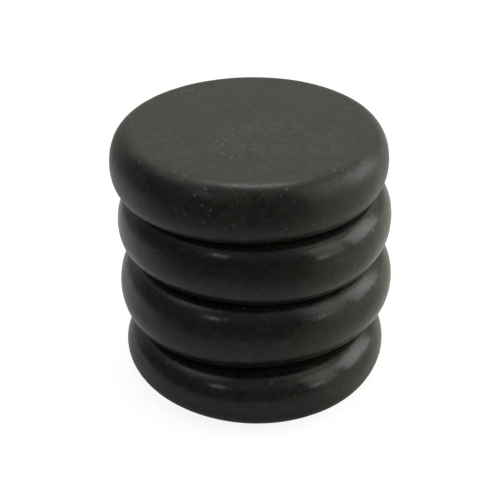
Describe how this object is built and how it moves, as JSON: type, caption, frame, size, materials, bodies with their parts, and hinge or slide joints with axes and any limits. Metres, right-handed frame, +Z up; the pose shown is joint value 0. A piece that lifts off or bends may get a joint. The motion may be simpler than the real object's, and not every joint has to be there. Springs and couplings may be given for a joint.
{
  "type": "basalt massage stone set",
  "caption": "Stack of loose, round, flat hot-massage stones in polished basalt, each with two flat faces and a rounded edge, and each free to lift off the one below.",
  "frame": {"origin": "centre of the flat face that the bottom stone rests on", "axes": "+Z up through the stack, +X to the right and +Y to the back, as the stack is seen from the front"},
  "size_m": [0.063, 0.0628, 0.0604],
  "materials": {
    "basalt": "satin"
  },
  "bodies": {
    "bottom_stone": {"bottom_stone": "basalt"},
    "lower_middle_stone": {"lower_middle_stone": "basalt"},
    "upper_middle_stone": {"upper_middle_stone": "basalt"},
    "top_stone": {"top_stone": "basalt"}
  },
  "joints": [
    {"name": "lower_middle_stone_lift", "type": "slide", "parent": "bottom_stone", "child": "lower_middle_stone", "axis": [0, 0, 1], "range_m": [0, 0.04]},
    {"name": "upper_middle_stone_lift", "type": "slide", "parent": "lower_middle_stone", "child": "upper_middle_stone", "axis": [0, 0, 1], "range_m": [0, 0.04]},
    {"name": "top_stone_lift", "type": "slide", "parent": "upper_middle_stone", "child": "top_stone", "axis": [0, 0, 1], "range_m": [0, 0.04]}
  ]
}
